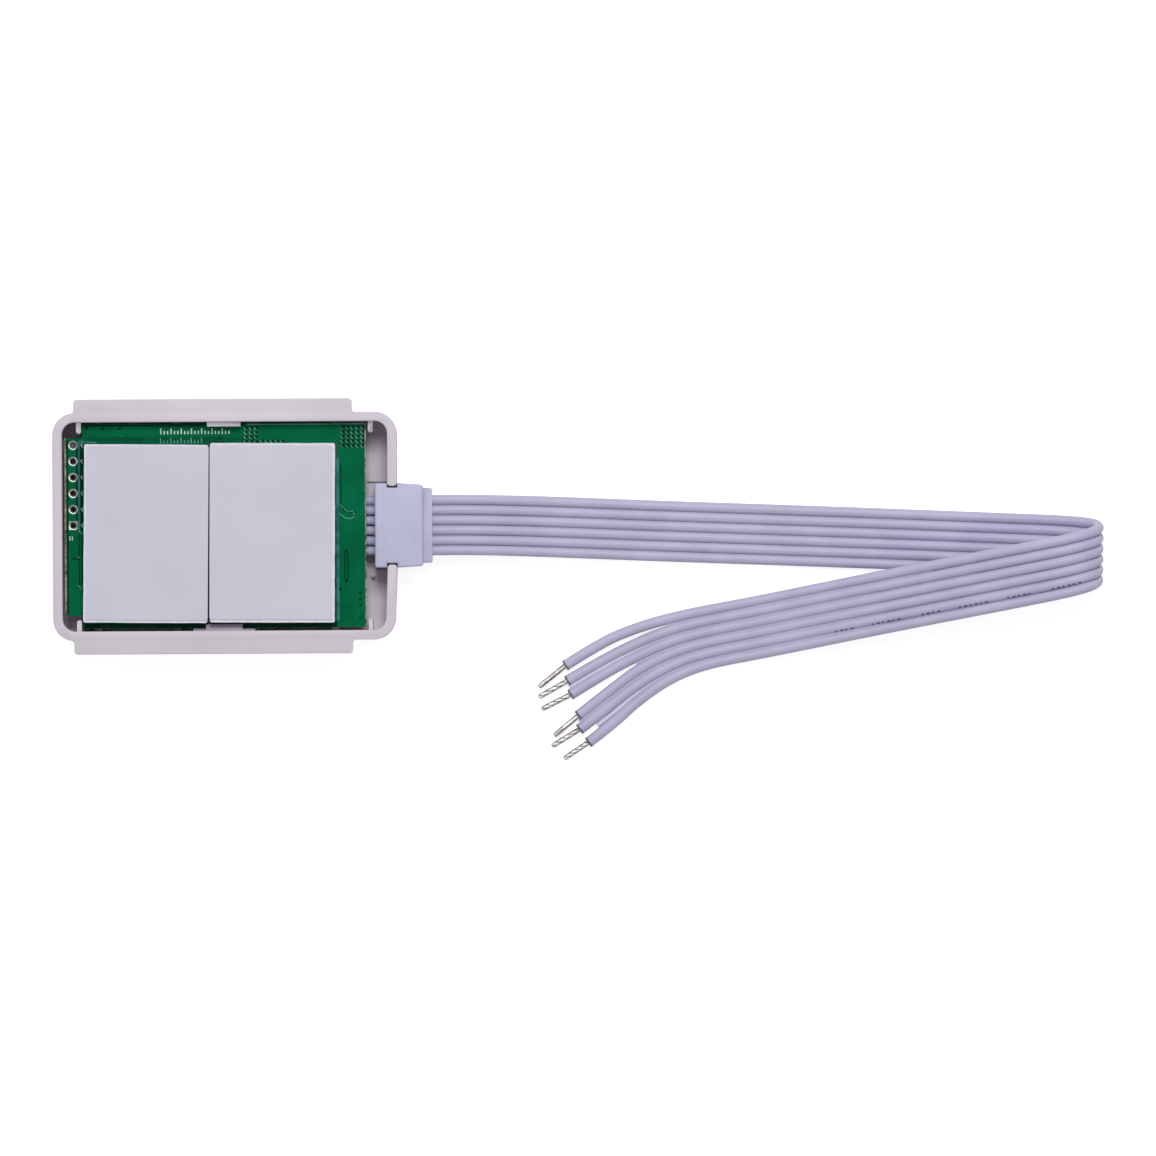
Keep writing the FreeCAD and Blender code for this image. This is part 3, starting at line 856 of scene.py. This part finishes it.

# %% [markdown]
# Plating lines each header hole and spreads into a ring on both faces. A full turn of a small
# polygon about the hole makes it: a land with a painted highlight on its lower left side, and
# inside it a step down into the barrel, painted dark brown as shade in the hole. The first pad of
# such a row is square by custom, here the lowest one, so its outer points move outwards.

# %% Plated header holes
ring_finish = new_finish("plated_ring", paint(150, 146, 144), 0.5, Metallic=0.3)
mottle(ring_finish, paint(122, 118, 116), paint(176, 172, 170), 1400)
uneven_shine(ring_finish, 0.2, 0.4, 1500)
lit_plating_finish = new_finish("plating_painted_highlight", paint(228, 226, 224), 0.4, Metallic=0.3)
mottle(lit_plating_finish, paint(212, 209, 206), paint(242, 240, 239), 1400)

barrel_shade_finish = new_finish("barrel_painted_shade", paint(64, 44, 40), 0.6, Metallic=0.2)
mottle(barrel_shade_finish, paint(46, 30, 28), paint(86, 64, 58), 1400)

header_x = -24.04
header_top_y = 12.96
header_pitch = 2.54
header_count = 6
ring_radius = 0.73
land_radius = 0.54
barrel_radius = 0.38
plating = 0.05
ring_steps = 32
square_share = 0.94
lit_side = Vector((-0.5, -0.85))
lit_level = 0.35
ring_outline = [
    (barrel_radius, board_bottom - plating),
    (ring_radius, board_bottom - plating),
    (ring_radius, board_top + plating),
    (land_radius, board_top + plating),
    (land_radius - 0.02, board_top - plating),
    (barrel_radius, board_top - plating),
]

ring_bm = bmesh.new()
for index in range(header_count):
    centre = Vector((header_x, header_top_y - index * header_pitch, 0))
    spin_ring(ring_bm, centre, ring_outline, ring_steps)
square_y = header_top_y - (header_count - 1) * header_pitch
for vert in ring_bm.verts:
    arm = vert.co / mm - Vector((header_x, square_y, 0))
    reach = math.hypot(arm.x, arm.y)
    if reach > land_radius + 0.1 and abs(arm.y) < 1:
        share = square_share * reach / max(abs(arm.x), abs(arm.y))
        vert.co = Vector((header_x + arm.x * share, square_y + arm.y * share, arm.z)) * mm
bmesh.ops.remove_doubles(ring_bm, verts=ring_bm.verts, dist=0.001 * mm)
bmesh.ops.recalc_face_normals(ring_bm, faces=ring_bm.faces)
for face in ring_bm.faces:
    middle = face.calc_center_median() / mm
    number = round((header_top_y - middle.y) / header_pitch)
    arm = Vector((middle.x - header_x, middle.y - header_top_y + number * header_pitch))
    # Faces inside the land get the dark brown painted shade, and faces towards the lower left get
    # the painted highlight.
    if arm.length < land_radius + slack:
        face.material_index = 2
    elif arm.normalized().dot(lit_side) > lit_level:
        face.material_index = 1
ring_finishes = [ring_finish, lit_plating_finish, barrel_shade_finish]
make_piece(ring_bm, "plated_header_rings", ring_finishes)
print("header rings", header_count)

# %% [markdown]
# Copper tracks stand a little proud under the mask, with a darker line of bare laminate
# along each side, and thin white print marks the header. A curve with a round bevel gives
# a line of even width with clean corners. It is made a mesh and pressed flat on the board.

# %% Helper for flat lines on the board
def board_lines(name, paths, width, height, finish):
    """Lines of one width along flat paths of (x, y) points in millimetres."""
    line = bpy.data.curves.new(name, "CURVE")
    line.dimensions = "3D"
    for path in paths:
        spline = line.splines.new("POLY")
        spline.points.add(len(path) - 1)
        for spot, (x, y) in zip(spline.points, path):
            spot.co = (x * mm, y * mm, 0, 1)
    line.bevel_depth = width / 2 * mm
    line.bevel_resolution = 1
    line.use_fill_caps = True
    guide = bpy.data.objects.new(name, line)
    tube = bpy.data.meshes.new_from_object(guide)
    bm = bmesh.new()
    bm.from_mesh(tube)
    bpy.data.objects.remove(guide)
    bpy.data.meshes.remove(tube)
    bmesh.ops.scale(bm, vec=(1, 1, 2 * height / width), verts=bm.verts)
    bmesh.ops.translate(bm, vec=(0, 0, board_top * mm), verts=bm.verts)
    make_piece(bm, name, [finish])
    print(name, "lines", len(paths))


# %% Tracks under the mask, and painted shade and shadow on the board
laminate_and_shade_finish = new_finish("mask_over_bare_laminate_and_painted_shade", paint(0, 46, 32), 0.4, Specular_IOR_Level=0.03)
mottle(laminate_and_shade_finish, paint(0, 38, 26), paint(0, 54, 38), 300)
darker_mask_and_shade_finish = new_finish("darker_mask_and_painted_shade", paint(0, 84, 54), 0.4, Specular_IOR_Level=0.03)
mottle(darker_mask_and_shade_finish, paint(0, 76, 48), paint(0, 90, 60), 300)
track_edge_and_highlight_finish = new_finish("mask_over_track_edge_and_painted_highlight", paint(90, 154, 130), 0.4, Specular_IOR_Level=0.15)
mottle(track_edge_and_highlight_finish, paint(72, 138, 112), paint(110, 170, 146), 300)
shade_finish = new_finish("painted_shade_black", paint(26, 30, 32), 0.6)
mottle(shade_finish, paint(20, 24, 26), paint(34, 38, 40), 300)

# Most of these strips are painted shade and shadow: along the board's top under the tray's wall,
# beside the header and its print, between the pads, below and above them, and beside the right
# pad. The strip at the left edge and the field under the vias are only darker mask.
strips = [  # name, path, width, height, finish
    ("painted_shade_by_header", [(-22.66, 13.2), (-22.66, -0.6)], 0.56, 0.015, laminate_and_shade_finish),
    ("painted_shade_at_print", [(-23.42, 13.2), (-23.42, -0.6)], 0.3, 0.012, laminate_and_shade_finish),
    ("painted_shade_between_pads", [(-2.42, 13.0), (-2.64, -15.4)], 0.9, 0.015, shade_finish),
    ("painted_shadow_below_pads", [(-22.3, -15.65), (17.7, -15.65)], 0.7, 0.015, laminate_and_shade_finish),
    ("dark_strip_at_left_edge", [(-24.98, 13.8), (-24.98, -13.8)], 0.3, 0.012, laminate_and_shade_finish),
    ("painted_shade_above_pads", [(-22.3, 13.75), (5.0, 13.65)], 1.1, 0.008, darker_mask_and_shade_finish),
    ("darker_field_of_vias", [(20.2, 15.95), (20.2, 12.3)], 3.8, 0.008, darker_mask_and_shade_finish),
    ("painted_shade_by_right_pad", [(17.46, 10.3), (17.46, -15.2)], 0.24, 0.012, laminate_and_shade_finish),
    ("painted_shadow_by_right_pad", [(17.62, 13.3), (17.62, 10.4)], 0.34, 0.014, shade_finish),
    ("painted_shadow_along_top", [(-22.3, 16.07), (3.2, 16.07)], 0.2, 0.015, laminate_and_shade_finish),
]
for name, path, width, height, finish in strips:
    board_lines(name, [path], width, height, finish)
bare_lines = [
    [(-23.14, -0.9), (-23.14, -9.2)],
    [(-22.7, -0.9), (-22.7, -9.0)],
    [(-24.0, -4.95), (-23.2, -5.1)],
    [(-0.75, 14.0), (-0.2, 13.45)],
    [(18.38, 9.7), (18.38, 3.6)],
    [(18.35, 3.15), (19.0, 2.2), (20.2, 2.05), (20.7, 2.2)],
    [(18.95, -4.15), (18.95, -8.55)],
    [(19.42, -4.15), (19.42, -8.55)],
]
board_lines("bare_lines", bare_lines, 0.17, 0.02, laminate_and_shade_finish)
track_edges = [
    [(-23.22, -0.55), (-22.6, -1.2)],
    [(-23.45, -9.15), (-22.72, -9.85)],
    [(-16.25, 14.35), (-16.15, 14.3)],
    [(-23.35, -4.85), (-23.05, -4.75)],
    [(17.85, 10.5), (18.05, 10.1)],
    [(18.25, 3.3), (19.4, 2.15), (20.2, 2.3), (20.5, 1.75)],
    [(18.0, 2.0), (18.95, 1.25), (19.9, 1.1), (20.5, 1.45)],
]
board_lines("track_edges", track_edges, 0.13, 0.035, track_edge_and_highlight_finish)

# %% White print beside the header and the right pad, and a painted highlight along the top
print_finish = new_finish("white_board_print", paint(196, 214, 212), 0.6)
mottle(print_finish, paint(168, 196, 192), paint(212, 226, 224), 900)
thin_finish = new_finish("thin_board_print", paint(38, 108, 102), 0.6, Specular_IOR_Level=0.1)
mottle(thin_finish, paint(20, 92, 84), paint(60, 126, 120), 500)
header_lines = [[(-23.12, 13.55), (-23.12, -0.9)], [(-23.12, 13.6), (-20.2, 13.35)]]
board_lines("print_by_header", header_lines, 0.28, 0.025, thin_finish)
# The pale line along the board's upper edge is a painted highlight.
board_lines("painted_highlight_along_top", [[(3.5, 16.12), (22.1, 16.12)]], 0.14, 0.02, track_edge_and_highlight_finish)
pad_line = [[(17.84, 11.0), (17.84, -15.0)]]
board_lines("print_by_right_pad", pad_line, 0.48, 0.02, thin_finish)

pin_marks = []
for index in range(header_count):
    y = header_top_y - index * header_pitch
    pin_marks.append([(-22.55, y + 0.3), (-22.8, y), (-22.55, y - 0.3)])
board_lines("pin_marks", pin_marks, 0.14, 0.02, print_finish)
row_strokes = [[(-24.6, -1.45), (-24.6, -2.1)], [(-24.2, -1.45), (-24.2, -2.1)]]
board_lines("row_mark", row_strokes, 0.16, 0.02, print_finish)

tick_pitch = 0.54
short_tick_share = 0.55


def tick_row(start_x, y, count, tall):
    """Plain ticks in a row like a ruler's, every third one longer."""
    row = []
    for index in range(count):
        x = start_x + index * tick_pitch
        reach = tall if index % 3 == 0 else tall * short_tick_share
        row.append([(x, y), (x, y + reach)])
    return row


upper_row = tick_row(-10.1, 14.65, 21, 0.9)
lower_row = tick_row(-10.15, 13.2, 13, 0.85)
board_lines("upper_tick_print", upper_row, 0.2, 0.02, print_finish)
board_lines("lower_tick_print", lower_row, 0.2, 0.02, track_edge_and_highlight_finish)

# %% [markdown]
# Small plated vias join the two copper layers. Under the mask each one is a small dimple, and a
# thin dark disc stands for it as painted shade. The vias in fields also have a pale rim on one
# side, a painted highlight where the dimple's edge catches the light. Both are turned from a few
# points, the rim only part of the way round.

# %% Vias in the copper areas
via_top_y = 15.6
via_row_pitch = 0.72
via_fields = [(18.75, 0.79, 5, 5), (3.45, 0.8, 3, 4)]  # left, pitch, columns, rows
via_spots = []
for left, pitch, columns, rows in via_fields:
    for row in range(rows):
        for column in range(columns):
            via_spots.append((left + column * pitch, via_top_y - row * via_row_pitch))
via_spots += [(6.0 + index * 0.8, 13.5) for index in range(5)]
rimmed_count = len(via_spots)
via_spots += [(-24.0, -5.0), (19.18, -3.95), (19.2, -8.75), (18.2, -10.1)]
via_spots += [(21.4, -10.7), (21.4, -11.65), (21.4, -12.6), (21.4, -14.65)]
via_spots += [(-0.75, 14.0), (-21.9, 15.75), (-19.3, 15.6), (-16.6, 15.55)]

via_steps = 10
via_radius = 0.24
via_core = 0.02
via_outline = [
    (via_core, board_top + 0.012),
    (via_radius, board_top + 0.012),
    (via_radius, board_top - 0.05),
    (via_core, board_top - 0.05),
]
rim_outline = [
    (via_radius, board_top - 0.03),
    (via_radius, board_top + 0.03),
    (0.37, board_top + 0.03),
    (0.39, board_top - 0.03),
]
rim_steps = 5
rim_arc = math.radians(110)
rim_turn = Matrix.Rotation(math.radians(160), 3, "Z")
via_bm = bmesh.new()
rim_bm = bmesh.new()
for number, (x, y) in enumerate(via_spots):
    centre = Vector((x, y, 0))
    spin_ring(via_bm, centre, via_outline, via_steps)
    if number < rimmed_count:
        before = set(rim_bm.verts)
        spin_ring(rim_bm, centre, rim_outline, rim_steps, rim_arc)
        fresh = [vert for vert in rim_bm.verts if vert not in before]
        bmesh.ops.rotate(rim_bm, cent=centre * mm, matrix=rim_turn, verts=fresh)
for bm in (via_bm, rim_bm):
    bmesh.ops.holes_fill(bm, edges=bm.edges, sides=via_steps)
    bmesh.ops.recalc_face_normals(bm, faces=bm.faces)
make_piece(via_bm, "via_dimples", [laminate_and_shade_finish])
make_piece(rim_bm, "via_painted_highlights", [track_edge_and_highlight_finish])
print("vias", len(via_spots))

# %% [markdown]
# ## Foam pads and release liners
# Each sensing pad is a block of white acrylic foam tape. Its knife-cut sides are not quite
# straight: they pull in between the two faces and wander by a few hundredths of a
# millimetre. A glossy pale liner covers its sticky face and is cut a touch smaller, so
# that a thin pale edge of foam shows round it. The block is sliced into a fine grid, and
# the points of its sides are moved. A trim says how many millimetres go off the left,
# right, lower and upper side, and a negative one lets that side out.

# %% Foam blocks
foam_finish = new_finish("white_foam", paint(220, 216, 228), 0.85, Specular_IOR_Level=0.2)
mottle(foam_finish, paint(213, 209, 222), paint(227, 223, 234), 1500)
grain(foam_finish, 2400, 0.08 * mm)

slice_pitch = 1.3
slice_levels = (0.1, 0.36, 0.64, 0.9)
pinch = 0.12
wander = 0.09
long_wave = 2.4
short_wave = 0.9
short_wave_share = 0.5
side_level = 0.3


def slice_block(bm, low, high):
    """Cut a block into a grid: four levels in height, and squares seen from above."""
    heights = [low.z + share * (high.z - low.z) for share in slice_levels]
    cuts = [(Vector((0, 0, height)), (0, 0, 1)) for height in heights]
    for axis in (0, 1):
        count = round((high[axis] - low[axis]) / (slice_pitch * mm))
        for step in range(1, count):
            place = low.copy()
            place[axis] = low[axis] + (high[axis] - low[axis]) * step / count
            direction = (1, 0, 0) if axis == 0 else (0, 1, 0)
            cuts.append((place, direction))
    for place, direction in cuts:
        everything = bm.verts[:] + bm.edges[:] + bm.faces[:]
        bmesh.ops.bisect_plane(bm, geom=everything, plane_co=place, plane_no=direction)


def form_foam(bm, low, high):
    """Pull the sides in between the two faces and let them wander a little."""
    bm.normal_update()
    middle = (low.z + high.z) / 2
    for vert in bm.verts:
        outward = Vector((vert.normal.x, vert.normal.y, 0))
        if outward.length > side_level:
            outward.normalize()
            share = (vert.co.z - middle) / (high.z - middle)
            rough = noise.noise(vert.co / (long_wave * mm))
            rough += short_wave_share * noise.noise(vert.co / (short_wave * mm))
            move = pinch * (1 - share * share) + wander * abs(rough)
            vert.co -= outward * move * mm


def trim(bm, low, high, left, right, lower, upper):
    """Move each of the four outer sides inwards by so many millimetres."""
    size = (high - low) / mm
    middle = (low + high) / 2
    factors = (1 - (left + right) / size.x, 1 - (lower + upper) / size.y, 1)
    bmesh.ops.scale(bm, vec=factors, space=Matrix.Translation(-middle), verts=bm.verts)
    shift = Vector(((left - right) / 2, (lower - upper) / 2, 0)) * mm
    bmesh.ops.translate(bm, vec=shift, verts=bm.verts)


foam_trims = {"left": (0.13, 0.0, -0.03, 0.16), "right": (0.0, 0.0, -0.1, 0.05)}
for side, trims in foam_trims.items():
    low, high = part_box(f"foam_pad_{side}")
    pad_bm = cleaned_copy(f"foam_pad_{side}")
    slice_block(pad_bm, low, high)
    form_foam(pad_bm, low, high)
    trim(pad_bm, low, high, *trims)
    pad = make_piece(pad_bm, f"foam_block_{side}", [foam_finish], sharp_angle=30)
    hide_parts(f"foam_pad_{side}")
    crisp = sum(edge.use_edge_sharp for edge in pad.data.edges)
    print(side, "foam block faces", len(pad.data.polygons), "sharp edges", crisp)

# %% Release liners
liner_finish = new_finish("release_liner", paint(201, 200, 214), 0.4, Specular_IOR_Level=0.3)
# The slow, large mottle is a painted reflection of soft light on the liner.
mottle(liner_finish, paint(199, 198, 212), paint(203, 202, 216), 60)
uneven_shine(liner_finish, 0.34, 0.46, 120)
grain(liner_finish, 90, 0.01 * mm)

liner_trims = {"left": (0.54, -0.06, 0.43, 0.48), "right": (-0.06, 0.44, 0.4, 0.45)}
for side, trims in liner_trims.items():
    low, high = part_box(f"liner_{side}")
    liner_bm = cleaned_copy(f"liner_{side}")
    trim(liner_bm, low, high, *trims)
    name = f"liner_sheet_{side}"
    body = f"{side}_release_liner"
    liner = make_piece(liner_bm, name, [liner_finish], body=body)
    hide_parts(f"liner_{side}")
    print(side, "liner trimmed by", trims)

# %% [markdown]
# ## Electronics under the board
# They are hidden in use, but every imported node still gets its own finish: black moulded
# packages, tinned leads, fired ceramic chips and bright solder.

# %% Finishes of the hidden parts
package_finish = new_finish("black_moulding", paint(38, 38, 40), 0.6)
mottle(package_finish, paint(34, 34, 36), paint(44, 44, 46), 700)
grain(package_finish, 4000, 0.02 * mm)
ceramic_finish = new_finish("tan_ceramic", paint(168, 132, 96), 0.5)
mottle(ceramic_finish, paint(160, 124, 90), paint(176, 140, 104), 900)
resistor_finish = new_finish("black_resistor", paint(30, 32, 38), 0.35)
mottle(resistor_finish, paint(26, 28, 34), paint(36, 38, 44), 900)
solder_finish = new_finish("bright_solder", paint(206, 204, 202), 0.22, Metallic=1.0)
mottle(solder_finish, paint(186, 184, 182), paint(222, 220, 218), 700)
uneven_shine(solder_finish, 0.15, 0.35, 900)


def finish_for(name):
    """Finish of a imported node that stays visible, from its name."""
    if name.startswith("solder_joint") or name == "chip_end_caps":
        return solder_finish
    if name.endswith(("_pins", "_leads", "_frame")):
        return tin_finish
    if "resistor" in name:
        return resistor_finish
    if "capacitor" in name:
        return ceramic_finish
    return package_finish


for name, node in nodes.items():
    if not node.hide_render:
        node.data.materials.clear()
        node.data.materials.append(finish_for(name))
        print(name, finish_for(name).name)
